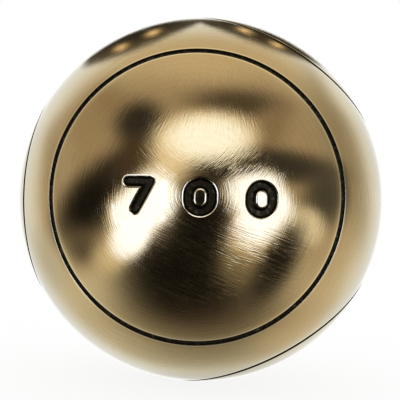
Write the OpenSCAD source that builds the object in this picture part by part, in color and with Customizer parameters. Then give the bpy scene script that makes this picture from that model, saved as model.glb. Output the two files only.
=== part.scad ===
// Competition boule: a hollow steel ball made of two forged half shells.
// The shells centre on a lip, are joined by one weld ring and are turned round together.
// Four turned circles, spaced like the faces of a tetrahedron, mark the surface.
// The ball's centre is the origin. The photographed circle faces -Y and +Z is up.

/* [Ball] */
// Outside diameter of the finished ball
ball_d = 74; // [71:0.5:80]
// Thickness of the forged steel wall
wall_t = 6.19; // [5.8:0.01:7]

/* [Weld joint] */
// Bare thickness of the two root faces that meet under the weld
root_face_t = 2; // [1.8:0.1:2.4]
// Width of the flat at the bottom of the weld groove
weld_root_w = 0.8; // [0.4:0.1:1.2]
// Angle between the two bevelled sides of the weld groove
weld_angle = 60; // [45:1:75]
// Thickness of the lip that centres one shell in the other
lip_t = 1; // [0.8:0.1:1.2]
// How far the lip reaches past the joint plane
lip_len = 2; // [1.5:0.1:3]
// How deep the root of the lip lies in its own shell
lip_root_len = 2; // [1:0.1:3]
// Gap left around the lip and at its end
lip_clear = 0.05; // [0.03:0.01:0.1]

/* [Turned circles] */
// Angle at the ball's centre between a circle's axis and its groove
groove_angle = 45; // [40:0.5:48]
// Width of the groove between its walls
groove_w = 1.15; // [0.7:0.05:1.3]
// Depth of the groove below the ball's surface
groove_depth = 0.7; // [0.5:0.05:0.9]
// Width of the chamfer that breaks each edge of the groove
groove_chamfer = 0.1; // [0.05:0.01:0.15]

/* [Weight mark] */
// Height of the figures stamped in the front circle
weight_h = 6.7; // [5:0.1:8]
// Width of one figure
weight_w = 5.9; // [4.5:0.1:6.5]
// Distance between the centres of two figures, along the surface
weight_pitch = 10.6; // [8.5:0.1:12]
// Distance of the middle figure to the right of the circle's centre
weight_right = 1; // [-2:0.1:2]
// Distance of the figures below the circle's centre
weight_below = 0.3; // [-2:0.1:2]
// Width of a stroke where it meets the surface
weight_stroke_w = 1.95; // [1.6:0.05:2.1]
// Width of a stroke at its floor
weight_floor_w = 0.9; // [0.6:0.05:1.2]
// Depth of the stamping
weight_depth = 0.75; // [0.5:0.05:1]

/* [Size mark] */
// Height of the small figures that give the ball's diameter
size_h = 3.2; // [2.5:0.1:3.4]
// Width of one small figure
size_w = 2.6; // [2.2:0.1:3.2]
// Distance between the centres of the small figures
size_pitch = 4.55; // [3.8:0.05:5.5]
// Distance from the small figures to the edge of the weld
size_gap = 0.5; // [0.3:0.1:3]
// Distance of the pair above the ball's middle plane
size_above = 0.95; // [-2:0.05:2]
// Width of a small stroke where it meets the surface
size_stroke_w = 0.75; // [0.6:0.05:0.9]
// Width of a small stroke at its floor
size_floor_w = 0.35; // [0.25:0.05:0.5]
// Depth of the small stamping
size_depth = 0.4; // [0.3:0.05:0.5]

/* [Hidden] */
$fn = 96;
steel = [0.62, 0.52, 0.35];
weld_steel = [0.55, 0.47, 0.34];

ball_r = ball_d / 2;
cavity_r = ball_r - wall_t;
root_r = cavity_r + root_face_t;
lip_r = cavity_r + lip_t;

// Half width of the weld where it meets the ball's surface.
weld_edge = weld_root_w / 2 + (ball_r - root_r) * tan(weld_angle / 2);

// How far a cutter runs past the surface that it opens.
overrun = 2;

// Axes of the four circles, as an angle from the front and a bearing round it.
side_circle_angle = acos(-1 / 3);
side_circle_bearings = [60, 180, 300];

// The bar and the foot of a 7, and the crossing of a 4, as shares of the figure's half width
// and half height between the middles of its strokes.
seven_foot_share = -0.3;
four_bar_share = -0.45;
four_upright_share = 0.45;

// Turns the lathe axis, which is +Z while a piece is drawn, to the front of the ball.
module face_front() {
    rotate([90, 0, 0]) children();
}

// Puts its children on the surface: right and up are distances along it from the front pole.
module on_surface(right, up) {
    rotate([-up / ball_r * 180 / PI, right / ball_r * 180 / PI, 0])
        translate([0, 0, ball_r]) children();
}

// Section of the weld: a blunt V that opens outwards, drawn as radius against the lathe axis.
module weld_section() {
    top_r = ball_r + overrun;
    root_half = weld_root_w / 2;
    top_half = weld_edge + overrun * tan(weld_angle / 2);
    polygon([[root_r, -root_half], [top_r, -top_half], [top_r, top_half], [root_r, root_half]]);
}

// Cutter for one turned circle around the lathe axis: flat sides, a round floor, broken edges.
module groove_cutter() {
    half = groove_w / 2;
    rotate_extrude()
        rotate([0, 0, 90 - groove_angle])
            translate([ball_r, 0]) {
                translate([-groove_depth + half, -half])
                    square([groove_depth - half + overrun, groove_w]);
                translate([-groove_depth + half, 0]) circle(r = half);
                polygon([
                    [-groove_chamfer, -half],
                    [overrun, -half - groove_chamfer - overrun],
                    [overrun, half + groove_chamfer + overrun],
                    [-groove_chamfer, half],
                ]);
            }
}

// All four circles: one in front, three behind it.
module groove_cutters() {
    groove_cutter();
    for (bearing = side_circle_bearings)
        rotate([0, side_circle_angle, bearing]) groove_cutter();
}

// Half width of a stamped stroke at the top of its cutter, which runs past the surface.
function stroke_top(top_w, floor_w, depth) =
    floor_w / 2 + (top_w - floor_w) / 2 / depth * (depth + overrun);

// Section across a stroke: a flat floor and sides that slope outwards.
module stroke_section(top_w, floor_w, depth) {
    top_half = stroke_top(top_w, floor_w, depth);
    polygon([
        [-floor_w / 2, -depth],
        [floor_w / 2, -depth],
        [top_half, overrun],
        [-top_half, overrun],
    ]);
}

// Cutter for half a turn of a stroke, from 0 to 180 degrees: mid_r is the radius of the
// stroke's middle, and with mid_r 0 it is the round end of a stroke.
module bend(mid_r, top_w, floor_w, depth) {
    reach = mid_r + stroke_top(top_w, floor_w, depth);
    rotate_extrude(angle = 180)
        intersection() {
            translate([mid_r, 0]) stroke_section(top_w, floor_w, depth);
            translate([0, -depth]) square([reach, depth + overrun]);
        }
}

// Cutter for a straight stroke with round ends, between two points.
module stroke(from, to, top_w, floor_w, depth) {
    run = to - from;
    heading = atan2(run.y, run.x);
    translate([from.x, from.y, 0]) rotate([0, 0, heading]) {
        rotate([90, 0, 90])
            linear_extrude(height = norm(run)) stroke_section(top_w, floor_w, depth);
        rotate([0, 0, 90]) bend(0, top_w, floor_w, depth);
        translate([norm(run), 0, 0])
            rotate([0, 0, -90]) bend(0, top_w, floor_w, depth);
    }
}

// Each figure is drawn on the flat, with its middle at the origin and its floor at -depth.
module figure_0(h, w, top_w, floor_w, depth) {
    side = (w - top_w) / 2;
    rise = (h - top_w) / 2 - side;
    for (way = [1, -1]) {
        stroke([way * side, -rise], [way * side, rise], top_w, floor_w, depth);
        rotate([0, 0, way > 0 ? 0 : 180])
            translate([0, rise, 0]) bend(side, top_w, floor_w, depth);
    }
}

module figure_7(h, w, top_w, floor_w, depth) {
    side = (w - top_w) / 2;
    rise = (h - top_w) / 2;
    stroke([-side, rise], [side, rise], top_w, floor_w, depth);
    stroke([side, rise], [seven_foot_share * side, -rise], top_w, floor_w, depth);
}

module figure_4(h, w, top_w, floor_w, depth) {
    side = (w - top_w) / 2;
    rise = (h - top_w) / 2;
    bar = four_bar_share * rise;
    upright = four_upright_share * side;
    stroke([upright, -rise], [upright, rise], top_w, floor_w, depth);
    stroke([upright, rise], [-side, bar], top_w, floor_w, depth);
    stroke([-side, bar], [side, bar], top_w, floor_w, depth);
}

// The ball's weight in grams, 700, across the front circle.
module weight_mark() {
    on_surface(weight_right - weight_pitch, -weight_below)
        figure_7(weight_h, weight_w, weight_stroke_w, weight_floor_w, weight_depth);
    for (place = [0, 1])
        on_surface(weight_right + place * weight_pitch, -weight_below)
            figure_0(weight_h, weight_w, weight_stroke_w, weight_floor_w, weight_depth);
}

// The ball's diameter in millimetres, 74, beside the front circle, read along the height.
module size_mark() {
    middle = acos(weld_edge / ball_r) * PI / 180 * ball_r - size_gap - size_h / 2;
    on_surface(middle, size_above - size_pitch / 2)
        rotate([0, 0, 90])
            figure_7(size_h, size_w, size_stroke_w, size_floor_w, size_depth);
    on_surface(middle, size_above + size_pitch / 2)
        rotate([0, 0, 90])
            figure_4(size_h, size_w, size_stroke_w, size_floor_w, size_depth);
}

// Half of the hollow ball on one side of the joint plane, bevelled for the weld.
module bevelled_half() {
    difference() {
        sphere(r = ball_r);
        sphere(r = cavity_r);
        translate([-ball_r - overrun, -ball_r - overrun, -ball_r - overrun])
            cube([ball_d + 2 * overrun, ball_d + 2 * overrun, ball_r + overrun]);
        rotate_extrude() weld_section();
    }
}

// The front shell carries the centring lip.
module front_half_shell() {
    color(steel) face_front() difference() {
        union() {
            bevelled_half();
            translate([0, 0, -lip_len]) difference() {
                cylinder(h = lip_len + lip_root_len, r = lip_r);
                translate([0, 0, -overrun])
                    cylinder(h = lip_len + lip_root_len + 2 * overrun, r = cavity_r);
            }
        }
        groove_cutters();
        weight_mark();
        size_mark();
    }
}

// The rear shell has the rebate that the lip fits.
module rear_half_shell() {
    color(steel) face_front() difference() {
        mirror([0, 0, 1]) bevelled_half();
        translate([0, 0, -lip_len - lip_clear])
            cylinder(h = lip_len + lip_clear + overrun, r = lip_r + lip_clear);
        groove_cutters();
    }
}

// The weld fills the V and is turned flush with the ball, so the circles cross it.
module weld_ring() {
    color(weld_steel) face_front() difference() {
        intersection() {
            sphere(r = ball_r);
            rotate_extrude() weld_section();
        }
        groove_cutters();
    }
}

front_half_shell();
rear_half_shell();
weld_ring();
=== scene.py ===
# %% [markdown]
# # A petanque boule
# A competition boule is a hollow steel ball, a little larger than a tennis ball, that weighs 700
# grams. Two forged half shells are welded together and turned round. Four circles are cut into
# the surface, the weight is stamped in one of them, and the whole ball is brushed.
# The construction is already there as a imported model. It gives the place and the size of every
# piece, so the lesson starts by loading it, and nothing in it is moved.

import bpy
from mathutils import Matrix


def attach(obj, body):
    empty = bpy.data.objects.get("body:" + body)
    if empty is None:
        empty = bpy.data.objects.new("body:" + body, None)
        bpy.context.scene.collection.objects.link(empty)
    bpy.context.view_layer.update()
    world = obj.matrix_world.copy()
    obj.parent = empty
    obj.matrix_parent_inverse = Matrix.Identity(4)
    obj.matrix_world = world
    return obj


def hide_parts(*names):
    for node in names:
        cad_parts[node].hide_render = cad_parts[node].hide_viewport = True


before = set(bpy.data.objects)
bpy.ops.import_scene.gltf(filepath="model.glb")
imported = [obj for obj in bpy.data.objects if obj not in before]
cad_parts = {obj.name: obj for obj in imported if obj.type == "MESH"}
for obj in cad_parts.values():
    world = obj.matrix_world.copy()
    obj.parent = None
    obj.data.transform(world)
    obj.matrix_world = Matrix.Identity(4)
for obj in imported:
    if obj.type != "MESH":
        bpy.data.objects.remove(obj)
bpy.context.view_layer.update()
print("pieces in the packed model:", sorted(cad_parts))

# %% The tools of this lesson
import math

import bmesh
import bpy
import numpy as np
from mathutils import Matrix, Vector
from mathutils.geometry import delaunay_2d_cdt

# %% [markdown]
# ## Sizes
# All shapes below are worked out in millimetres and written into Blender in metres. The main
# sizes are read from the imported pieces, because a size that is typed twice will disagree one day.
# A size that no single point gives, such as a groove's width, is typed here, once.

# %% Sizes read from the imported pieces, in millimetres
MM = 0.001


def node_points(name):
    """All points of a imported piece, one row each, in millimetres."""
    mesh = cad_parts[name].data
    flat = np.empty(len(mesh.vertices) * 3, np.float32)
    mesh.vertices.foreach_get("co", flat)
    return flat.reshape(-1, 3).astype(float) / MM


def off_axis(points):
    """Distance of each point from the Y axis, about which the two shells were turned."""
    return np.hypot(points[:, 0], points[:, 2])


front_points = node_points("front_half_shell")
rear_points = node_points("rear_half_shell")
weld_points = node_points("weld_ring")
ball_r = round(np.linalg.norm(front_points, axis=1).max(), 2)
cavity_r = round(np.linalg.norm(rear_points, axis=1).min(), 2)
root_r = round(off_axis(weld_points).min(), 2)
weld_edge = weld_points[:, 1].max()
lip_len = round(front_points[:, 1].max(), 2)
lip_r = round(off_axis(front_points[front_points[:, 1] > lip_len / 2]).max(), 2)
print(f"ball {ball_r}, cavity {cavity_r}, weld root {root_r}, weld edge {weld_edge:.3f}")
print(f"lip radius {lip_r}, lip length {lip_len}")

# %% Sizes of the joint, the circles and the figures, in millimetres
weld_root_half = 0.4
weld_slope = math.tan(math.radians(30))
lip_clear = 0.05

groove_angle = math.radians(45)
groove_half = 0.575
groove_depth = 0.7

weight_mark = {"h": 6.7, "w": 5.9, "top": 1.95, "floor": 0.9, "depth": 0.75, "round": 0.3}
weight_pitch = 10.6
weight_right = 1.0
weight_up = -0.3

size_mark = {"h": 3.2, "w": 2.6, "top": 0.75, "floor": 0.35, "depth": 0.4, "round": 0.12}
size_pitch = 4.55
size_gap = 0.5
size_up = 0.95

# %% [markdown]
# ## The camera
# The camera comes first, because what a polished ball shows is decided by where it is looked at
# from. It stands about five ball radii away, a little to the right and a little below the middle,
# and it is rolled by two degrees. It could be turned by hand, but a direction and a distance are
# easier to read and to change.

# %% Place the camera
camera_azimuth = math.radians(1.77)
camera_elevation = math.radians(-1.07)
camera_roll = math.radians(2)
camera_distance = 5.04 * ball_r * MM
camera_lens = 80.8
camera_shift = (-0.002, -0.0015)

to_camera = Vector((
    math.sin(camera_azimuth) * math.cos(camera_elevation),
    -math.cos(camera_azimuth) * math.cos(camera_elevation),
    math.sin(camera_elevation),
))
camera_data = bpy.data.cameras.new("camera")
camera_data.lens = camera_lens
camera_data.shift_x, camera_data.shift_y = camera_shift
camera_data.clip_start = 0.01
camera = bpy.data.objects.new("camera", camera_data)
turn = to_camera.to_track_quat("Z", "Y").to_matrix() @ Matrix.Rotation(camera_roll, 3, "Z")
camera.matrix_world = Matrix.Translation(to_camera * camera_distance) @ turn.to_4x4()
bpy.context.scene.collection.objects.link(camera)
bpy.context.scene.camera = camera
picture_right = turn.col[0]
picture_up = turn.col[1]
print(f"camera {camera_distance:.3f} m from the middle of the ball")

# %% [markdown]
# ## The skin of the ball
# The real surface is one sphere with four grooves cut by a lathe tool. A sphere from the menu,
# cut with booleans, would leave ragged triangles beside each groove, and a polished surface shows
# every one of them. Here the sphere is divided into four equal cells instead, one round each
# circle, like the faces of a tetrahedron blown up to a ball. A cell is a set of closed rings
# about its own axis. Rings follow a round groove exactly, so its lips catch a clean thin light.

# %% Lace rings together
def lace(turns_a, turns_b):
    """Triangles between two closed rings, whose points lie at the given turns from 0 to 1.

    Going once round, the next side that has its middle earliest gets a triangle. Its third
    corner is the point that has been reached on the other ring.
    """
    next_a = np.append(turns_a[1:], turns_a[0] + 1)
    next_b = np.append(turns_b[1:], turns_b[0] + 1)
    middles = np.concatenate([turns_a + next_a, turns_b + next_b]) / 2
    on_a = np.concatenate([np.ones(len(turns_a), int), np.zeros(len(turns_b), int)])
    on_a = on_a[np.argsort(middles, kind="stable")]
    at_a = np.cumsum(on_a) - on_a
    at_b = np.cumsum(1 - on_a) - (1 - on_a)
    first = at_a % len(turns_a)
    second = len(turns_a) + at_b % len(turns_b)
    third = np.where(
        on_a == 1,
        (at_a + 1) % len(turns_a),
        len(turns_a) + (at_b + 1) % len(turns_b),
    )
    return np.stack([first, second, third], axis=1)


def even_turns(count):
    """Turns from 0 to 1 at equal steps."""
    return np.arange(count) / count


def lace_all(rings, turns=None):
    """Points and triangles of a surface through a list of rings, in order."""
    turns = turns or [even_turns(len(ring)) for ring in rings]
    starts = np.cumsum([0] + [len(ring) for ring in rings])
    bands = [lace(turns[k], turns[k + 1]) + starts[k] for k in range(len(rings) - 1)]
    return np.concatenate(rings), np.concatenate(bands)


# %% Merge points that lie at one place
merge_distance = 1e-6


def merge(points, triangles):
    """Equal points become one point, and a triangle that has lost a side is dropped."""
    keys = np.round(points / merge_distance).astype(np.int64)
    _, first, group = np.unique(keys, axis=0, return_index=True, return_inverse=True)
    triangles = group.reshape(-1)[triangles]
    a, b, c = triangles.T
    return points[first], triangles[(a != b) & (b != c) & (c != a)]


# %% [markdown]
# A groove is a profile carried round the ball. Its section is a lip that rolls over from the
# surface, and a round floor. The lip is what the eye reads as a turned edge, so it gets several
# rings of its own.

# %% One cell: rings from the pole, across the groove, out to the border
columns = 540
lip_radius = groove_depth - groove_half
lip_steps = 6
floor_steps = 10
disc_step = 1.45
border_rings = 9


def ring(polar, depth, count):
    """A ring about +Z at a polar angle, sunk by a depth: radius times (sin, cos) of that angle.

    The angle is one number, or one for each point.
    """
    bearing = 2 * np.pi * even_turns(count)
    polar = np.broadcast_to(polar, count)
    across = np.sin(polar)
    unit = np.stack([across * np.cos(bearing), across * np.sin(bearing), np.cos(polar)], axis=1)
    return (ball_r - depth) * unit


def groove_profile():
    """Offsets from the groove's middle and depths: a quarter circle for each lip, with half a
    circle for the floor between them."""
    roll = np.linspace(0, np.pi / 2, lip_steps + 1)
    lip_offset = -groove_half - lip_radius * (1 - np.sin(roll))
    lip_depth = lip_radius * (1 - np.cos(roll))
    sweep = np.linspace(0, np.pi, floor_steps + 1)[1:-1]
    floor_offset = -groove_half * np.cos(sweep)
    floor_depth = lip_radius + groove_half * np.sin(sweep)
    offset = np.concatenate([lip_offset, floor_offset, -lip_offset[::-1]])
    depth = np.concatenate([lip_depth, floor_depth, lip_depth[::-1]])
    return offset, depth


def border_angle(count):
    """Polar angle of the cell's border: the plane halfway to each of three neighbours, so its
    tangent is the square root of 2 over the cosine of the bearing from the nearest one."""
    bearing = 2 * np.pi * even_turns(count)
    third = 2 * np.pi / 3
    from_neighbour = (bearing + third / 2) % third - third / 2
    return np.arctan(math.sqrt(2) / np.cos(from_neighbour))


def disc_columns(distance):
    """Fewer columns near the pole, where the rings are short: within a share of the way to the
    groove, so many columns become one."""
    shares = [(0.25, 9), (0.5, 4), (0.78, 2)]
    reach = groove_angle * ball_r
    divisor = next((many for share, many in shares if distance < share * reach), 1)
    return columns // divisor


def make_cell():
    """All rings of one cell about +Z, laced."""
    offset, depth = groove_profile()
    inner = groove_angle * ball_r + offset[0]
    distances = np.linspace(0, inner, round(inner / disc_step) + 1)[1:-1]
    rings = [np.array([[0, 0, ball_r]])]
    rings += [ring(s / ball_r, 0, disc_columns(s)) for s in distances]
    rings += [ring(groove_angle + o / ball_r, d, columns) for o, d in zip(offset, depth)]
    start = groove_angle + offset[-1] / ball_r
    border = border_angle(columns)
    shares = np.arange(1, border_rings + 1) / border_rings
    rings += [ring(start + share * (border - start), 0, columns) for share in shares]
    return lace_all(rings)


cell_points, cell_triangles = make_cell()
print(f"one cell: {len(cell_triangles)} triangles")

# %% Four cells make the ball
side_circle_angle = math.acos(-1 / 3)
side_circle_bearings = np.radians([60, 180, 300])


def circle_axes():
    """The four axes: the front, which is -Y, and three that lean back from it."""
    lean = math.sin(side_circle_angle)
    sides = [
        (lean * math.cos(b), -math.cos(side_circle_angle), lean * math.sin(b))
        for b in side_circle_bearings
    ]
    return np.array([(0, -1, 0)] + sides)


def cell_frame(axis, neighbour):
    """Rows right, up and out of a cell: out is its axis, right is towards one neighbour."""
    right = neighbour - axis * (neighbour @ axis)
    right = right / np.linalg.norm(right)
    return np.array([right, np.cross(axis, right), axis])


axes = circle_axes()
cell_frames = np.array([cell_frame(axes[k], axes[k - 1]) for k in range(len(axes))])


def make_skin():
    """The cell, turned to each of the four axes, with the shared borders merged."""
    points = np.concatenate([cell_points @ f for f in cell_frames])
    shifts = np.arange(len(cell_frames)) * len(cell_points)
    triangles = np.concatenate([cell_triangles + shift for shift in shifts])
    return merge(points, triangles)


skin_points, skin_triangles = make_skin()
print(f"skin: {len(skin_points)} points, {len(skin_triangles)} triangles")

# %% [markdown]
# ## The stamped figures
# A steel punch leaves strokes with sloping walls, a flat floor and a softly rounded edge, where
# the metal has been drawn down. The figures could be text objects, but a font knows nothing of
# walls. Here each figure is a few middle lines, and the height of the surface follows from the
# distance to the nearest line. Three figures give the weight, two small ones the diameter.

# %% Distances to the strokes of a figure
seven_foot_share = -0.3
four_upright_share, four_bar_share = 0.45, -0.45


def line_distance(x, y, start, end):
    """Distance to a straight middle line: the foot of the perpendicular, kept between its ends."""
    run_x, run_y = end[0] - start[0], end[1] - start[1]
    along = ((x - start[0]) * run_x + (y - start[1]) * run_y) / (run_x**2 + run_y**2)
    along = np.clip(along, 0, 1)
    return np.hypot(x - start[0] - along * run_x, y - start[1] - along * run_y)


def distance_to_0(x, y, side, rise):
    """A nought is everything that lies one half width from a short upright line."""
    bow = rise - side
    return np.abs(line_distance(x, y, (0, -bow), (0, bow)) - side)


def distance_to_7(x, y, side, rise):
    """A bar across the top and a leg down to the left of the middle."""
    foot = seven_foot_share * side
    bar = line_distance(x, y, (-side, rise), (side, rise))
    return np.minimum(bar, line_distance(x, y, (side, rise), (foot, -rise)))


def distance_to_4(x, y, side, rise):
    """An upright, a slope from its top to the left, and a bar across below the middle."""
    upright, bar = four_upright_share * side, four_bar_share * rise
    stem = line_distance(x, y, (upright, -rise), (upright, rise))
    slope = line_distance(x, y, (upright, rise), (-side, bar))
    crossing = line_distance(x, y, (-side, bar), (side, bar))
    return np.minimum(np.minimum(stem, slope), crossing)


# %% Height of the stamped surface
def soft_min(a, b, width):
    """The smaller of two heights, with the corner between them rounded over that width."""
    share = np.clip(0.5 + 0.5 * (b - a) / width, 0, 1)
    return b + (a - b) * share - width * share * (1 - share)


def stamped_height(x, y, figure, mark):
    """Height along the figure's own upright: the sphere outside, a ramp down each wall, and a
    flat floor, joined softly."""
    side, rise = (mark["w"] - mark["top"]) / 2, (mark["h"] - mark["top"]) / 2
    distance = figure(x, y, side, rise)
    sphere = np.sqrt(ball_r**2 - x**2 - y**2)
    steep = mark["depth"] / ((mark["top"] - mark["floor"]) / 2)
    ramp = ball_r + steep * (distance - mark["top"] / 2)
    floor = ball_r - mark["depth"]
    walls = -soft_min(-ramp, np.full_like(ramp, -floor), mark["round"] / 2)
    return soft_min(sphere, walls, mark["round"])


# %% [markdown]
# Each figure gets a fine net of its own, because a wall half a millimetre wide needs points every
# tenth of a millimetre. The coarse skin is opened under the net, and the strip between the two is
# filled with well shaped triangles by Delaunay's rule.

# %% Set a fine net into the skin
hole_margin = 1.0
inside_only, same_place = 1, 1e-9


def edge_list(triangles):
    """The three directed sides of every triangle."""
    return np.concatenate([triangles[:, [0, 1]], triangles[:, [1, 2]], triangles[:, [2, 0]]])


def once_only(edges):
    """The sides that belong to one triangle and not to two."""
    key = np.sort(edges, axis=1)
    _, index, count = np.unique(key, axis=0, return_index=True, return_counts=True)
    return edges[index[count == 1]]


def net_between(x, y):
    """Triangles of a rectangular net, and its rim as a closed loop of point numbers."""
    number = np.arange(len(x) * len(y)).reshape(len(y), len(x))
    a, b = number[:-1, :-1].ravel(), number[:-1, 1:].ravel()
    c, d = number[1:, 1:].ravel(), number[1:, :-1].ravel()
    triangles = np.concatenate([np.stack([a, b, c], axis=1), np.stack([a, c, d], axis=1)])
    rim = np.concatenate([
        number[0, :-1], number[:-1, -1], number[-1, :0:-1], number[:0:-1, 0],
    ])
    return triangles, rim


def set_net(points, triangles, place, half_size, step, height):
    """Opens the skin under a rectangle and sets a fine net there.

    place holds the rows right, up and out of the net. A net point at (x, y) lies at
    x times right plus y times up plus the given height of (x, y) times out.
    """
    local = points @ place.T
    reach = np.array(half_size) + hole_margin
    under = (np.abs(local[:, :2]) < reach).all(axis=1) & (local[:, 2] > 0)
    gone = under[triangles].any(axis=1)
    hole = once_only(edge_list(triangles[gone]))

    counts = [max(2, round(2 * half / step)) + 1 for half in half_size]
    x, y = (np.linspace(-half, half, n) for half, n in zip(half_size, counts))
    net, rim = net_between(x, y)
    grid_x, grid_y = (g.ravel() for g in np.meshgrid(x, y))
    net_points = np.stack([grid_x, grid_y, height(grid_x, grid_y)], axis=1)
    first = len(points)

    outer = np.unique(hole)
    flat = np.concatenate([local[outer, :2], net_points[rim, :2]])
    numbers = np.concatenate([outer, rim + first])
    rim_numbers = np.arange(len(rim)) + len(outer)
    sides = np.concatenate([
        np.searchsorted(outer, hole),
        np.stack([rim_numbers, np.roll(rim_numbers, -1)], axis=1),
    ])
    filled = delaunay_2d_cdt([Vector(p) for p in flat], sides.tolist(), [], inside_only, same_place)
    source = np.array([origin[0] for origin in filled[3]])
    strip = source[np.array(filled[2])]
    middle = flat[strip].mean(axis=1)
    outside = (np.abs(middle) > np.array(half_size)).any(axis=1)
    strip = numbers[strip[outside]]
    points = np.concatenate([points, net_points @ place])
    return points, np.concatenate([triangles[~gone], net + first, strip])


# %% Places of the figures
def turned(angle, first, second):
    """A rotation by an angle from one axis number towards another."""
    matrix = np.eye(3)
    matrix[first, first] = matrix[second, second] = math.cos(angle)
    matrix[second, first] = math.sin(angle)
    matrix[first, second] = -math.sin(angle)
    return matrix


def on_surface(right, up, spin=0):
    """Rows right, up and out at a place given by two distances along the ball from its front.

    The place is found with the front as +Z, and then +Z is laid on -Y.
    """
    place = turned(right / ball_r, 2, 0) @ turned(-up / ball_r, 1, 2) @ turned(spin, 0, 1)
    return np.stack([place[0], -place[2], place[1]]).T


def stamp(points, triangles, figure, mark, place, margin, step):
    """Sets the net of one figure into the skin, with a margin round the figure."""
    half_size = [mark["w"] / 2 + margin, mark["h"] / 2 + margin]

    def height(x, y):
        return stamped_height(x, y, figure, mark)

    return set_net(points, triangles, place, half_size, step, height)


weld_mouth = weld_root_half + (ball_r - root_r) * weld_slope
size_right = math.acos(weld_mouth / ball_r) * ball_r - size_gap - size_mark["h"] / 2
weight_net = {"margin": 0.5, "step": 0.088}
size_net = {"margin": 0.32, "step": 0.06}
for k, figure in zip((-1, 0, 1), (distance_to_7, distance_to_0, distance_to_0)):
    place = on_surface(weight_right + k * weight_pitch, weight_up)
    skin_points, skin_triangles = stamp(
        skin_points, skin_triangles, figure, weight_mark, place, **weight_net
    )
for k, figure in zip((-0.5, 0.5), (distance_to_7, distance_to_4)):
    place = on_surface(size_right, size_up + k * size_pitch, math.pi / 2)
    skin_points, skin_triangles = stamp(
        skin_points, skin_triangles, figure, size_mark, place, **size_net
    )
skin_points, skin_triangles = merge(skin_points, skin_triangles)
open_sides = len(once_only(edge_list(skin_triangles)))
print(f"skin with figures: {len(skin_triangles)} triangles, {open_sides} open sides")

# %% [markdown]
# ## Three pieces
# The ball is three pieces of steel: a front shell, a rear shell and the weld between them. The
# weld fills a V that is 60 degrees wide and is turned flush, so nothing of it stands out, but it
# is a piece all the same. The skin is cut along the two sides of the V, and each part is closed
# inside with its own bevel, lip or rebate, and the hollow.

# %% Cut the skin along a cone
def weld_half(points):
    """Half width of the V at each point's distance from the Y axis."""
    return weld_root_half + (off_axis(points) - root_r) * weld_slope


def settle(points, side, on_ball):
    """Puts cut points exactly on the cone, and those of the plain sphere on its edge circle."""
    edge_radius = math.sqrt(ball_r**2 - weld_edge**2)
    scale = np.where(on_ball, edge_radius / off_axis(points), 1)
    points = points * np.stack([scale, np.ones_like(scale), scale], axis=1)
    points[:, 1] = np.where(on_ball, side * weld_edge, side * weld_half(points))
    return points


def cut(points, triangles, side):
    """Cuts the triangles along one side of the V, -1 for the front and 1 for the rear.

    The height of a point over the cone is its y less the cone's y. Where it changes sign along
    a side of a triangle, a new point divides that side in the same ratio.
    """
    height = points[:, 1] - side * weld_half(points)
    behind = height > 0
    count = behind[triangles].sum(axis=1)
    crossed = triangles[(count == 1) | (count == 2)]
    crossed_behind = behind[crossed]
    few = crossed_behind.sum(axis=1) == 1
    lone = np.where(few, np.argmax(crossed_behind, axis=1), np.argmin(crossed_behind, axis=1))
    rows = np.arange(len(crossed))
    p, q, r = (crossed[rows, (lone + k) % 3] for k in range(3))

    sides = np.sort(np.concatenate([np.stack([p, q], 1), np.stack([p, r], 1)]), axis=1)
    pairs, which = np.unique(sides, axis=0, return_inverse=True)
    a, b = pairs.T
    share = (height[a] / (height[a] - height[b]))[:, None]
    fresh = points[a] + share * (points[b] - points[a])
    radius = np.linalg.norm(points, axis=1)
    plain = radius > ball_r - merge_distance
    fresh = settle(fresh, side, plain[a] & plain[b])
    which = which.reshape(-1) + len(points)
    pq, pr = which[: len(crossed)], which[len(crossed):]
    points = np.concatenate([points, fresh])

    tips = np.stack([p, pq, pr], axis=1)
    rests = np.concatenate([np.stack([pq, q, r], axis=1), np.stack([pq, r, pr], axis=1)])
    tip_behind = behind[p]
    rest_behind = np.tile(~tip_behind, 2)
    front = [triangles[count == 0], tips[~tip_behind], rests[~rest_behind]]
    back = [triangles[count == 3], tips[tip_behind], rests[rest_behind]]
    return points, np.concatenate(front), np.concatenate(back)


def used(points, triangles):
    """Only the points that the triangles use, renumbered."""
    numbers, triangles = np.unique(triangles, return_inverse=True)
    return points[numbers], triangles.reshape(-1, 3)


skin_points, front_skin, behind_skin = cut(skin_points, skin_triangles, -1)
skin_points, weld_skin, rear_skin = cut(skin_points, behind_skin, 1)
print(f"cut into {len(front_skin)}, {len(weld_skin)} and {len(rear_skin)} triangles")

# %% Find the open rims
slight_turn = 1e-7


def rims(triangles):
    """Each open rim as a list of point numbers, found by stepping from side to side."""
    following = dict(once_only(edge_list(triangles)).tolist())
    loops = []
    while following:
        start, at = following.popitem()
        loop = [start]
        while at != start:
            loop.append(at)
            at = following.pop(at)
        loops.append(np.array(loop))
    return loops


def from_bearing_zero(points, loop):
    """The loop, started at the smallest bearing about the Y axis and going up from there, and
    the turns at which its points lie, made never to step back."""
    turns = np.arctan2(points[loop, 2], points[loop, 0]) / (2 * np.pi) % 1
    step = (np.roll(turns, -1) - turns + 0.5) % 1 - 0.5
    if step.sum() < 0:
        loop, turns = loop[::-1], turns[::-1]
    start = np.argmin(turns)
    loop, turns = np.roll(loop, -start), np.roll(turns, -start)
    return loop, np.maximum.accumulate(turns) + slight_turn * np.arange(len(turns))


# %% Close a piece with rings about the Y axis
hollow_columns = 120
hollow_steps = 16


def turned_ring(turns, radius, y):
    """A ring about the Y axis at the given turns: radius times (cos, sin) in x and z."""
    bearing = 2 * np.pi * turns
    return np.stack(
        [radius * np.cos(bearing), np.full_like(bearing, y), radius * np.sin(bearing)], axis=1
    )


def joined(points, triangles, inner_points, inner_triangles):
    """Two surfaces as one, with the points of their shared rims merged."""
    return merge(
        np.concatenate([points, inner_points]),
        np.concatenate([triangles, inner_triangles + len(points)]),
    )


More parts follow.
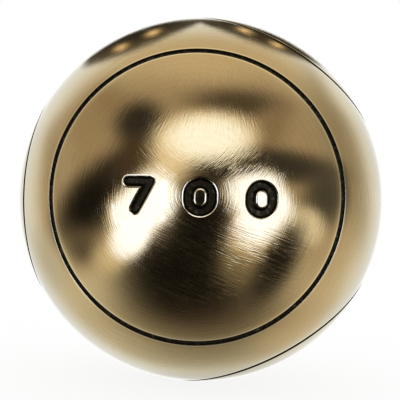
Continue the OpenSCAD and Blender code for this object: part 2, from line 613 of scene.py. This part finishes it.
def close_shell(skin, side, corners):
    """A half shell: its skin, the bevel, the turned corners of the joint, and the hollow."""
    points, triangles = used(skin_points, skin)
    (loop,) = rims(triangles)
    loop, turns = from_bearing_zero(points, loop)
    even = even_turns(hollow_columns)
    last_radius, last_y = corners[-1]
    start = math.atan2(last_radius, side * last_y)
    polars = np.linspace(start, 0, hollow_steps + 1)[1:-1]
    hollow = [turned_ring(even, cavity_r * math.sin(a), side * cavity_r * math.cos(a)) for a in polars]
    pole = np.array([[0, side * cavity_r, 0]])
    rings = [points[loop]] + [turned_ring(turns, r, y) for r, y in corners] + hollow + [pole]
    ring_turns = [turns] * (len(corners) + 1) + [even] * len(hollow) + [even_turns(1)]
    return joined(points, triangles, *lace_all(rings, ring_turns))


def close_weld(skin):
    """The weld: its skin between two rims, and the V that runs down to the root."""
    points, triangles = used(skin_points, skin)
    loops = sorted(rims(triangles), key=lambda loop: points[loop, 1].mean())
    (front_loop, front_turns), (rear_loop, rear_turns) = (
        from_bearing_zero(points, loop) for loop in loops
    )
    rings = [
        points[front_loop],
        turned_ring(front_turns, root_r, -weld_root_half),
        turned_ring(rear_turns, root_r, weld_root_half),
        points[rear_loop],
    ]
    turns = [front_turns, front_turns, rear_turns, rear_turns]
    return joined(points, triangles, *lace_all(rings, turns))


front_corners = [
    (root_r, -weld_root_half),
    (root_r, 0),
    (lip_r, 0),
    (lip_r, lip_len),
    (cavity_r, lip_len),
    (cavity_r, 0),
]
rebate_r, rebate_len = lip_r + lip_clear, lip_len + lip_clear
rear_corners = [
    (root_r, weld_root_half),
    (root_r, 0),
    (rebate_r, 0),
    (rebate_r, rebate_len),
    (math.sqrt(cavity_r**2 - rebate_len**2), rebate_len),
]
shapes = {
    "front_half_shell": close_shell(front_skin, -1, front_corners),
    "rear_half_shell": close_shell(rear_skin, 1, rear_corners),
    "weld_ring": close_weld(weld_skin),
}
for name, (points, triangles) in shapes.items():
    print(f"{name}: {len(triangles)} triangles, {len(once_only(edge_list(triangles)))} open sides")

# %% [markdown]
# ## From numbers to meshes
# Blender guesses a smooth surface from the triangles' own directions. On a polished ball that
# guess shows as faint facets, so every point of the plain sphere is given the true direction,
# straight away from the middle. Each piece also gets a map for its brush marks: U runs outwards
# from the circle's middle, and V runs round it.

# %% Directions and map
map_scale = 0.01
sharp_angle = math.radians(50)
skin_depth = 1.0
plain_margin = 1e-4


def sphere_directions(points, triangles):
    """For each corner, the unit vector of its point if the surface is plain sphere there.

    That is so if the corner's own triangle lies on the sphere and no triangle of a groove or a
    figure touches the point. Every other corner gets zero, which leaves it to Blender.
    """
    radius = np.linalg.norm(points, axis=1)
    plain = radius > ball_r - plain_margin
    on_sphere = plain[triangles].all(axis=1)
    in_skin = (radius > ball_r - skin_depth)[triangles].all(axis=1)
    plain[np.unique(triangles[in_skin & ~on_sphere])] = False
    exact = plain[triangles] & on_sphere[:, None]
    corners = (points / radius[:, None])[triangles]
    return np.where(exact[..., None], corners, 0).reshape(-1, 3)


def circle_map(points, triangles):
    """U and V of every corner: the distance from the circle's axis along the ball, scaled, and
    the bearing round it in turns. The middle of a triangle picks the circle and the turn."""
    corners = points[triangles]
    middles = corners.mean(axis=1)
    cell = np.argmax(middles @ axes.T, axis=1)
    local = np.einsum("tij,tcj->tci", cell_frames[cell], corners)
    middle = np.einsum("tij,tj->ti", cell_frames[cell], middles)
    off = np.hypot(local[..., 0], local[..., 1])
    distance = np.arctan2(off, local[..., 2]) * ball_r
    bearing = np.arctan2(local[..., 1], local[..., 0]) / (2 * np.pi)
    around = (np.arctan2(middle[:, 1], middle[:, 0]) / (2 * np.pi))[:, None]
    bearing = np.where(off < merge_distance, around, bearing - np.round(bearing - around))
    return np.stack([distance * map_scale, bearing], axis=-1)


# %% Write the meshes
def corner_numbers(mesh):
    """The point number of every corner, three to a row."""
    corners = np.empty(len(mesh.loops), np.int32)
    mesh.loops.foreach_get("vertex_index", corners)
    return corners.reshape(-1, 3)


def make_piece(name, points, triangles):
    """A mesh object from the arrays, with its faces turned outwards, riding on the ball."""
    mesh = bpy.data.meshes.new(name)
    mesh.from_pydata((points * MM).tolist(), [], triangles.tolist())
    work = bmesh.new()
    work.from_mesh(mesh)
    bmesh.ops.recalc_face_normals(work, faces=work.faces)
    work.to_mesh(mesh)
    work.free()
    triangles = corner_numbers(mesh)
    uv = mesh.uv_layers.new(name="circles")
    uv.data.foreach_set("uv", circle_map(points, triangles).astype(np.float32).ravel())
    mesh.shade_smooth()
    mesh.set_sharp_from_angle(angle=sharp_angle)
    mesh.normals_split_custom_set(sphere_directions(points, triangles).tolist())
    piece = bpy.data.objects.new(name + "_skin", mesh)
    bpy.context.scene.collection.objects.link(piece)
    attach(piece, "root")
    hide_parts(name)
    return piece


def volume(points, triangles):
    """Volume in cubic centimetres: a sixth of the sum of the corners' triple products."""
    a, b, c = (points[triangles[:, k]] for k in range(3))
    return abs(np.einsum("ij,ij->i", a, np.cross(b, c)).sum()) / 6 / 1000


pieces = {}
for name, (points, triangles) in shapes.items():
    pieces[name] = make_piece(name, points, triangles)
    steel = volume(points, corner_numbers(pieces[name].data))
    print(f"{name}: {steel:.3f} cubic centimetres of steel")

# %% [markdown]
# ## Node trees as sums
# A material is a small calculation for every point of a surface. Drawn by hand it becomes a wide
# web of Math nodes, and written as calls it becomes a long list. Here an output socket is wrapped
# in a class of its own, so that a sum or a product on it adds the node, and the formula can be
# read.

# %% Sockets that can be added and multiplied
class Wire:
    """An output socket in a node tree. Arithmetic on wires and numbers adds Math nodes."""

    def __init__(self, tree, socket):
        self.tree = tree
        self.socket = socket

    def node(self, kind, settings=None, inputs=None, output=0):
        """Adds any node: its settings first, then the values or links of its sockets."""
        made = self.tree.nodes.new(kind)
        for key, value in (settings or {}).items():
            setattr(made, key, value)
        for key, value in (inputs or {}).items():
            if isinstance(value, Wire):
                self.tree.links.new(value.socket, made.inputs[key])
            else:
                made.inputs[key].default_value = value
        return Wire(self.tree, made.outputs[output] if len(made.outputs) else None)

    def other(self, output):
        """Another output of the same node."""
        return Wire(self.tree, self.socket.node.outputs[output])

    def math(self, operation, *values):
        """A Math node on this wire and the other values."""
        inputs = dict(enumerate([self, *values]))
        return self.node("ShaderNodeMath", {"operation": operation}, inputs)

    def __add__(self, other):
        return self.math("ADD", other)

    def __mul__(self, other):
        return self.math("MULTIPLY", other)

    def __sub__(self, other):
        return self.math("SUBTRACT", other)

    def __rsub__(self, other):
        return self.math("MULTIPLY", -1) + other

    def __truediv__(self, other):
        return self.math("DIVIDE", other)

    def __pow__(self, other):
        return self.math("POWER", other)

    __radd__ = __add__
    __rmul__ = __mul__

    def between(self, low, high, kind="SMOOTHSTEP"):
        """0 below low, 1 above high, and between them a smooth step, or a LINEAR one."""
        inputs = {"Value": self, "From Min": low, "From Max": high}
        return self.node("ShaderNodeMapRange", {"interpolation_type": kind}, inputs)

    def blend(self, other, share):
        """This number where share is 0 and the other where it is 1."""
        return self * (1 - share) + other * share

    def vector(self, operation, *values, output=0):
        """A Vector Math node on this wire and the other values."""
        inputs = dict(enumerate([self, *values]))
        return self.node("ShaderNodeVectorMath", {"operation": operation}, inputs, output)

    def scaled(self, factor):
        """This vector times a number."""
        made = self.vector("SCALE")
        made.socket.node.inputs["Scale"].default_value = factor
        return made

    def dot(self, direction):
        """The part of this vector that lies along a direction."""
        return self.vector("DOT_PRODUCT", tuple(direction), output="Value")

    def colour(self, value):
        """A fixed colour, from its red, green and blue, or a colour that is a wire already."""
        if isinstance(value, Wire):
            return value
        made = self.node("ShaderNodeRGB")
        made.socket.default_value = (*value, 1)
        return made

    def paint(self, colour, share):
        """This colour where share is 0 and the other colour where it is 1."""
        inputs = {"Factor": share, 6: self, 7: self.colour(colour)}
        return self.node("ShaderNodeMix", {"data_type": "RGBA"}, inputs, output=2)


def start_tree(owner):
    """An empty node tree, with a wire from which nodes can be added."""
    owner.use_nodes = True
    owner.node_tree.nodes.clear()
    return Wire(owner.node_tree, None)


# %% [markdown]
# ## The brushed steel
# The colour is that of a bronze-tinted steel. After welding, the ball is turned about the axis of
# its weld, and that leaves fine lines round it. Inside each circle it is then rubbed by hand, which
# leaves a fan, a long arc and two short bows of hair lines. The lines tilt the surface by a few
# degrees, and this tears the edge of each reflection into fine hairs.
# An image of scratches would be quicker, but it would repeat and blur when seen close. Here a line
# is noise that changes quickly across it and slowly along it, so no two are alike.

# %% Noise and hair lines
hairs_per_mm = 6.0
hair_contrast = 0.4


def noise(vector, scale, detail=2.0):
    """A Noise Texture on a vector, from 0 to 1 with its middle at a half."""
    inputs = {"Vector": vector, "Scale": scale, "Detail": detail}
    return vector.node("ShaderNodeTexNoise", {}, inputs)


def hairs(millimetres, across, length):
    """Hair lines from 0 to 1: noise in four dimensions, where three change slowly with the place,
    so that a line ends after some millimetres, and one quickly with a distance across."""
    inputs = {
        "Vector": millimetres.scaled(1 / length),
        "W": across * hairs_per_mm,
        "Scale": 1.0,
        "Detail": 1.0,
        "Roughness": hair_contrast,
    }
    return millimetres.node("ShaderNodeTexNoise", {"noise_dimensions": "4D"}, inputs)


# %% Places inside a circle, in millimetres
chart_turn = math.radians(-60)
fan_radius = 20
oval_from, oval_to = 0.25, 1.3


def chart(start):
    """The place in a circle: right and up from its middle along the ball."""
    place = start.node("ShaderNodeUVMap", {"uv_map": "circles"})
    split = start.node("ShaderNodeSeparateXYZ", {}, {"Vector": place})
    distance = split * (1 / map_scale)
    bearing = split.other(1) * (2 * math.pi) + chart_turn
    return distance * bearing.math("COSINE"), distance * bearing.math("SINE")


def distance_from(right, up, point):
    """Distance from a point: lines across which it changes run round the point."""
    dx, dy = right - point[0], up - point[1]
    return (dx * dx + dy * dy).math("SQRT")


def bearing_from(right, up, point):
    """Bearing from a point, times the fan's radius: lines across which it changes run from it."""
    dx, dy = right - point[0], up - point[1]
    return dy.math("ARCTAN2", dx) * fan_radius


def near(right, up, middle, half_size):
    """1 around the middle of an oval, fading to 0 towards its edge: a step over the square of the
    distance, as a share of the half size."""
    dx, dy = (right - middle[0]) / half_size[0], (up - middle[1]) / half_size[1]
    return 1 - (dx * dx + dy * dy).between(oval_from, oval_to)


# %% Brush marks
# Each stroke of the hand: what changes across its lines, and from which point, the middle and the
# half size of its oval, the length of a line, and the pressure.
strokes = [
    (bearing_from, (2, 36), (1, 18), (20, 10), 1.8, 0.35),
    (distance_from, (55, 110), (6, -12), (18, 11), 3.0, 1.0),
    (distance_from, (12, 28), (-7, 6), (8, 4), 1.8, 0.35),
    (distance_from, (-14, 27), (7, 6), (9, 3.5), 1.8, 0.35),
]
turned_length = 3.0
wander_per_mm, hair_wander = 0.08, 2
tremble_per_mm, hair_tremble = 0.5, 0.25
patches_per_mm, patch_from, patch_to = 0.35, 0.3, 0.6
least_pressure, least_patch = 0.4, 0.5


def brush_marks(millimetres, right, up):
    """Hair lines from 0 to 1, and their strength. The lathe's lines run round the ball, each
    stroke is blended in over them, and patches of the surface took less of either."""
    out = millimetres.dot((0, -1, 0)) / millimetres.vector("LENGTH", output="Value")
    drawn = hairs(millimetres, out.math("ARCCOSINE") * ball_r, turned_length)
    wander = (noise(millimetres, wander_per_mm, detail=1.0) - 0.5) * hair_wander
    wander = wander + (noise(millimetres, tremble_per_mm, detail=1.0) - 0.5) * hair_tremble
    rubbed = 0.0
    for across, point, middle, half_size, length, pressure in strokes:
        share = near(right, up, middle, half_size)
        lines = hairs(millimetres, across(right, up, point) + wander, length)
        drawn = drawn.blend(lines, share)
        rubbed = (share * pressure).math("MAXIMUM", rubbed)
    patchy = noise(millimetres, patches_per_mm, detail=1.0).between(patch_from, patch_to)
    strength = least_pressure + rubbed * (1 - least_pressure)
    return drawn, strength * (least_patch + patchy * (1 - least_patch))


# %% [markdown]
# The brush never reached the bottom of a groove or a figure, so dark scale has stayed there. It
# begins a little below the surface, with a ragged edge. In the upper part of a circle the dark
# band also takes in the lips, and the line looks heavier there. The metal beside a groove, and the
# edge where a stroke of a figure rolls down, are painted paler: partly metal polished bare, and
# partly a painted highlight for the light that these rounded edges catch.

# %% Scale and bright edges, by depth and by distance from the groove's middle in millimetres
figure_scale, groove_scale = (0.06, 0.11), (0.03, 0.06)
groove_zone, lip_zone = (1.0, 1.3), (0.62, 0.72)
scale_rag, lip_lean, lean_to_right = 0.02, 0.0022, 0.2
# The soft line beside each groove is painted paler: partly polished metal, partly painted highlight.
bright_edge_middle, bright_edge_fade = 0.86, (0.102, 0.204)
roll_depth = (0.004, 0.03)
bright_edge_share = 0.85


def dark_scale(depth, from_groove, right, up, grime):
    """How much of a place is scale: a step over its depth. It starts at less depth in a groove than
    in a figure. On the lips it starts at less depth still towards the top and right of the circle,
    which makes the dark line heavier there."""
    in_groove = 1 - from_groove.between(*groove_zone)
    on_lip = 1 - from_groove.between(*lip_zone)
    # The dark band takes in the lips more towards the top and right of each circle.
    lean = ((up + right * lean_to_right) * lip_lean).math("MAXIMUM", 0.0) * on_lip
    dirty = depth + (grime - 0.5) * scale_rag + lean
    return dirty.between(*figure_scale).blend(dirty.between(*groove_scale), in_groove)


def burnish_and_highlight(depth, from_groove, scale):
    """How much paler an edge is painted, partly as metal polished bare and partly as a painted
    highlight for the light a rounded edge catches: a soft line on each side of a groove, and the
    rolled edge of a figure, where the metal is only just below the ball and bare of scale."""
    beside = 1 - (from_groove - bright_edge_middle).math("ABSOLUTE").between(*bright_edge_fade)
    rolled = depth.between(*roll_depth) * (1 - scale) * from_groove.between(*groove_zone)
    return beside.math("MAXIMUM", rolled) * bright_edge_share


# %% The finish
shell_colour, shell_shade = (0.68, 0.52, 0.27), (0.52, 0.39, 0.19)
weld_colour, weld_shade = (0.67, 0.515, 0.272), (0.515, 0.387, 0.192)
# Paler steel for the edges: polished bare metal, and a painted highlight for the light they catch.
pale_steel_highlight = (0.92, 0.78, 0.50)
scale_colour, scale_grey = (0.020, 0.015, 0.007), (0.080, 0.060, 0.030)
grey_from, grey_to = 0.5, 0.75
grain_per_mm, grime_per_mm, clouds_per_mm = 6.0, 1.4, 0.05
line_span, scratch_span = (0.3, 0.7), (0.42, 0.78)
line_tone, grain_tone, cloud_tone, middle_tone = 0.7, 1.1, 0.4, 0.3
hair_height = 0.000014
grain_height, scale_height = 0.35, 2
bare_roughness, scratch_roughness, scale_roughness = 0.075, 0.14, 0.45


def brushed_steel(name, colour, shade):
    """Steel with brush marks, grain and bright edges, and scale in its depths."""
    material = bpy.data.materials.new(name)
    start = start_tree(material)
    millimetres = start.node("ShaderNodeTexCoord", output="Object").scaled(1 / MM)
    depth = ball_r - millimetres.vector("LENGTH", output="Value")
    right, up = chart(start)
    from_groove = distance_from(right, up, (0, 0)) - groove_angle * ball_r
    from_groove = from_groove.math("ABSOLUTE")

    drawn, strength = brush_marks(millimetres, right, up)
    lines = (drawn.between(*line_span, "LINEAR") - 0.5) * strength
    scratches = drawn.between(*scratch_span, "LINEAR") * strength
    grain = noise(millimetres, grain_per_mm, detail=1.0) - 0.5
    cloud = noise(millimetres, clouds_per_mm) - 0.5
    grime = noise(millimetres, grime_per_mm, detail=4.0)
    scale = dark_scale(depth, from_groove, right, up, grime)

    tone = lines * line_tone + grain * grain_tone + cloud * cloud_tone + middle_tone
    steel = start.colour(colour).paint(shade, tone.between(0.0, 1.0))
    # Edges painted paler: partly polished bare metal, partly a painted highlight.
    steel = steel.paint(pale_steel_highlight, burnish_and_highlight(depth, from_groove, scale))
    scab = start.colour(scale_colour).paint(scale_grey, grime.between(grey_from, grey_to))
    height = (lines + grain * grain_height) * (1 - scale) + grime * scale * scale_height
    roughness = bare_roughness + scratches * scratch_roughness
    bump_inputs = {"Strength": 1.0, "Distance": hair_height, "Height": height}
    shader = start.node("ShaderNodeBsdfPrincipled", {}, {
        "Base Color": steel.paint(scab, scale),
        "Metallic": 1.0,
        "Roughness": roughness.blend(scale_roughness, scale),
        "Normal": start.node("ShaderNodeBump", {}, bump_inputs),
    })
    start.node("ShaderNodeOutputMaterial", {}, {"Surface": shader})
    return material


shell_steel = brushed_steel("brushed_shell_steel", shell_colour, shell_shade)
weld_steel = brushed_steel("brushed_weld_steel", weld_colour, weld_shade)
for name, piece in pieces.items():
    piece.data.materials.append(weld_steel if name == "weld_ring" else shell_steel)
print("materials:", [m.name for m in bpy.data.materials])

# %% [markdown]
# ## The studio
# Brushed metal has hardly any look of its own: it shows the room. The room here is a white
# studio with a few soft light boxes in front of the ball, dark gaps between them, and two dark
# arches with lamps over it. Real lamps could do this, but their places are hard to find by trial.
# A mirror ball gives a simpler way. For light that comes from a direction, the surface that throws
# it into the camera faces halfway between that direction and the camera. So each patch of the room
# is given by the place on the ball where it shows, right and up, in ball radii, and the world works
# out the halfway direction. The patches are painted in order, like layers. Under each bright box
# lies a warm one that is slightly larger, and its rim is the golden fringe of the box.

# %% The lights
white = (1, 1, 1)


def grey(level):
    """A neutral light of that strength."""
    return (level, level, level)


cool_white = (1.8, 2.25, 3.7)
cream_white = (1.6, 1.85, 2.5)
warm_white = (1.25, 1.15, 0.95)
amber = (1.3, 1.0, 0.6)
rim_white = (1.0, 1.10, 1.24)
warm_room = (0.50, 0.43, 0.36)

# The room brightens towards the ball's rim: from and to radius, and the light. The last two rings
# are painted later, under and over the patches at the rim.
room_rings = [
    (0.62, 0.85, (0.74, 0.70, 0.62)),
    (0.80, 0.92, (1.0, 1.10, 1.27)),
]
rim_ring = (0.88, 0.95, (0.93, 1.03, 1.17))
back_ring = (0.966, 0.984, (1.15, 1.2, 1.25))

# %% Soft boxes and dark gaps, by the place on the ball where they show
# Each patch: name, right, up, half width, half height, turn in degrees, edge, light.
room_patches = [
    ("lower room", 0.0, -0.72, 0.80, 0.50, 0, 1.5, (0.78, 0.77, 0.70)),
    ("lower glow", 0.0, -0.97, 0.75, 0.14, 0, 1.5, (0.88, 1.0, 1.1)),
    ("lower middle", 0.02, -0.78, 0.36, 0.14, 0, 1.2, (0.43, 0.43, 0.41)),
    ("upper glow", 0.02, 0.72, 0.42, 0.13, 0, 1.3, (0.78, 0.70, 0.58)),
    ("left room", -0.60, 0.38, 0.16, 0.18, 0, 1.3, (0.46, 0.39, 0.31)),
    ("left edge room", -0.77, 0.14, 0.07, 0.32, 0, 1.3, (0.50, 0.46, 0.41)),
    ("left room top", -0.48, 0.51, 0.11, 0.10, 30, 1.3, (0.40, 0.33, 0.26)),
    ("right room", 0.72, 0.27, 0.12, 0.48, 16, 1.4, (0.42, 0.39, 0.34)),
    ("left glow", -0.53, -0.50, 0.18, 0.15, 20, 1.3, (0.86, 0.86, 0.82)),
    ("right glow", 0.49, -0.61, 0.22, 0.13, 35, 1.3, (0.90, 0.84, 0.75)),
    ("brown floor", 0.02, -0.56, 0.50, 0.21, 0, 1.5, (0.12, 0.10, 0.085)),
    ("dark middle", -0.11, -0.37, 0.36, 0.27, -10, 2.4, grey(0.006)),
    ("dark left", -0.56, -0.01, 0.155, 0.28, -40, 2.4, grey(0.008)),
    ("dark left top", -0.41, 0.14, 0.12, 0.10, 20, 1.8, grey(0.02)),
    ("dark left foot", -0.615, -0.25, 0.085, 0.10, 0, 1.3, (0.13, 0.115, 0.10)),
    ("top box tail", -0.14, 0.225, 0.13, 0.145, 5, 1.9, (1.15, 1.08, 1.0)),
    ("brown bridge", -0.345, 0.23, 0.105, 0.17, -15, 1.5, (0.08, 0.06, 0.045)),
    ("dark upper left", -0.32, 0.405, 0.14, 0.11, 25, 2.0, grey(0.035)),
    ("dark top", 0.19, 0.49, 0.26, 0.085, -3, 1.6, (0.10, 0.085, 0.07)),
    ("dark top right", 0.36, 0.36, 0.08, 0.13, -25, 1.4, (0.34, 0.28, 0.22)),
    ("dark right", 0.38, 0.175, 0.36, 0.095, -7, 2.4, grey(0.05)),
    ("dark over middle", 0.125, 0.15, 0.175, 0.06, -3, 2.0, grey(0.005)),
    ("dark far right", 0.64, 0.01, 0.13, 0.17, -8, 1.9, grey(0.09)),
    ("pale wedge", 0.535, -0.14, 0.105, 0.095, -40, 2.2, grey(1.1)),
    ("top box edge", 0.033, 0.316, 0.248, 0.134, 1, 2.8, warm_white),
    ("top box", 0.033, 0.312, 0.215, 0.117, 1, 2.6, cream_white),
    ("left box glow", -0.465, -0.30, 0.08, 0.09, -26, 1.6, (0.85, 0.80, 0.68)),
    ("right box glow", 0.27, -0.21, 0.12, 0.16, -12, 1.8, (1.6, 1.45, 1.15)),
    ("gold patch", 0.20, -0.325, 0.11, 0.09, 0, 1.5, (0.26, 0.235, 0.18)),
    ("dark lower right", 0.385, -0.32, 0.11, 0.25, -30, 2.4, grey(0.016)),
    ("dark neck", 0.005, -0.10, 0.175, 0.27, -6, 2.8, grey(0.005)),
    ("left box edge", -0.268, -0.01, 0.14, 0.17, -37, 4.0, warm_white),
    ("left box side edge", -0.372, -0.072, 0.104, 0.115, -10, 4.0, warm_white),
    ("left box foot edge", -0.357, -0.166, 0.106, 0.162, -31, 4.0, warm_white),
    ("right box edge", 0.30, -0.004, 0.184, 0.124, -28, 3.6, warm_white),
    ("right box top edge", 0.315, 0.05, 0.112, 0.098, 0, 3.6, warm_white),
    ("right box foot edge", 0.295, -0.115, 0.142, 0.112, 38, 3.6, warm_white),
    ("left box", -0.262, -0.01, 0.128, 0.155, -37, 4.0, cool_white),
    ("left box side", -0.364, -0.072, 0.09, 0.10, -10, 4.0, cool_white),
    ("left box foot", -0.348, -0.165, 0.094, 0.148, -31, 4.0, cool_white),
    ("right box", 0.30, -0.004, 0.172, 0.112, -28, 3.6, cool_white),
    ("right box top", 0.315, 0.05, 0.10, 0.086, 0, 3.6, cool_white),
    ("right box foot", 0.295, -0.115, 0.13, 0.10, 38, 3.6, cool_white),
]

# These are painted over the light of the rim: its own glows, the arches and their lamps.
rim_patches = [
    ("upper left rim", -0.78, 0.54, 0.08, 0.24, -35, 1.3, rim_white),
    ("upper right rim", 0.77, 0.57, 0.08, 0.18, 38, 1.3, rim_white),
    ("lower rim", 0.1, -1.01, 0.85, 0.12, 6, 1.5, (0.71, 0.78, 0.87)),
    ("lower left rim", -0.80, -0.33, 0.07, 0.18, 25, 1.3, (0.70, 0.74, 0.78)),
    ("left arch", -0.37, 0.986, 0.645, 0.20, 22.0, 12.0, (0.12, 0.105, 0.08)),
    ("right arch", 0.37, 0.972, 0.70, 0.17, -19.5, 12.0, (0.12, 0.105, 0.075)),
    ("left arch core", -0.275, 0.985, 0.48, 0.125, 24, 3.0, (0.03, 0.026, 0.02)),
    ("right arch core", 0.27, 0.985, 0.48, 0.125, -23, 3.0, (0.04, 0.035, 0.025)),
    ("left arch end", -0.075, 0.932, 0.085, 0.018, 24, 2.0, (0.08, 0.07, 0.055)),
    ("right arch end", 0.07, 0.932, 0.085, 0.018, -22, 2.0, (0.08, 0.07, 0.055)),
    ("pale arch tip", -0.67, 0.72, 0.05, 0.06, 0, 1.5, rim_white),
    ("lamp 1", -0.425, 0.807, 0.034, 0.015, 20, 1.0, amber),
    ("lamp 2", -0.255, 0.886, 0.034, 0.015, 20, 1.0, amber),
    ("lamp 3", 0.235, 0.900, 0.038, 0.013, -20, 1.0, amber),
    ("lamp 4", 0.405, 0.822, 0.034, 0.013, -20, 1.0, amber),
]


# %% Paint the world
def patch_share(right, up, patch):
    """A soft tilted oval, 1 inside and 0 outside: e to the power of minus the squared distance
    from its middle, as a share of its half sizes, which is first raised to the edge."""
    _, at_right, at_up, half_w, half_h, degrees, edge, _ = patch
    c, s = math.cos(math.radians(degrees)), math.sin(math.radians(degrees))
    dx, dy = right - at_right, up - at_up
    across = (dx * c + dy * s) / half_w
    along = (dy * c - dx * s) / half_h
    square = across * across + along * along
    return ((square ** edge) * -1).math("EXPONENT")


def studio(world):
    """White for the camera, a plain fill for matt surfaces, the boxes for what is polished."""
    start = start_tree(world)
    ray = start.node("ShaderNodeTexCoord", output="Generated")
    halfway = ray.vector("ADD", tuple(to_camera)).vector("NORMALIZE")
    right, up = halfway.dot(picture_right), halfway.dot(picture_up)
    radius = (right * right + up * up).math("SQRT")

    def with_rings(room, rings):
        for low, high, light in rings:
            room = room.paint(light, radius.between(low, high))
        return room

    def with_patches(room, patches):
        for patch in patches:
            room = room.paint(patch[-1], patch_share(right, up, patch))
        return room

    room = with_rings(start.colour(warm_room), room_rings)
    room = with_rings(with_patches(room, room_patches), [rim_ring])
    room = with_rings(with_patches(room, rim_patches), [back_ring])

    path = start.node("ShaderNodeLightPath", output="Is Camera Ray")
    seen = path.math("MAXIMUM", path.other("Is Transmission Ray"))
    shown = room.paint(white, seen)
    backdrop = start.node("ShaderNodeBackground", {}, {"Color": shown})
    fill = start.node("ShaderNodeBackground", {}, {"Color": start.colour(white)})
    sharp = seen.math("MAXIMUM", path.other("Is Glossy Ray"))
    mixed = start.node("ShaderNodeMixShader", {}, {0: sharp, 1: fill, 2: backdrop})
    start.node("ShaderNodeOutputWorld", {}, {"Surface": mixed})


world = bpy.data.worlds.new("studio")
bpy.context.scene.world = world
studio(world)
print(f"studio: {len(world.node_tree.nodes)} nodes for {len(room_patches)} patches of the room")
print("painted over the rim:", [patch[0] for patch in rim_patches])

# %% [markdown]
# ## The floor
# The ball rests on a plain white floor. Most of its white is glow, so that it meets the white
# background without an edge. The rest of it is matt paint, which takes the soft shadow of the
# ball. What is polished looks through it into the studio.

# %% Floor, in metres
floor_half = 2.0
floor_glow = 0.88


def floor_paint():
    """White paint: part glow, part matt, and clear for reflections."""
    material = bpy.data.materials.new("white_floor")
    start = start_tree(material)
    glow = start.node("ShaderNodeEmission", {}, {"Color": start.colour(white)})
    matt = start.node("ShaderNodeBsdfDiffuse", {}, {"Color": start.colour(white)})
    paint = start.node("ShaderNodeMixShader", {}, {0: floor_glow, 1: matt, 2: glow})
    clear = start.node("ShaderNodeBsdfTransparent")
    path = start.node("ShaderNodeLightPath", output="Is Glossy Ray")
    mixed = start.node("ShaderNodeMixShader", {}, {0: path, 1: paint, 2: clear})
    start.node("ShaderNodeOutputMaterial", {}, {"Surface": mixed})
    return material


floor_z = -ball_r * MM
corners = [(-1, -1), (1, -1), (1, 1), (-1, 1)]
floor_mesh = bpy.data.meshes.new("floor")
floor_mesh.from_pydata([(x * floor_half, y * floor_half, floor_z) for x, y in corners], [], [range(4)])
floor_mesh.materials.append(floor_paint())
floor = bpy.data.objects.new("floor", floor_mesh)
bpy.context.scene.collection.objects.link(floor)

# %% [markdown]
# ## The last settings
# The Standard view shows a colour as it was written.

# %% Finish
bpy.context.scene.view_settings.view_transform = "Standard"
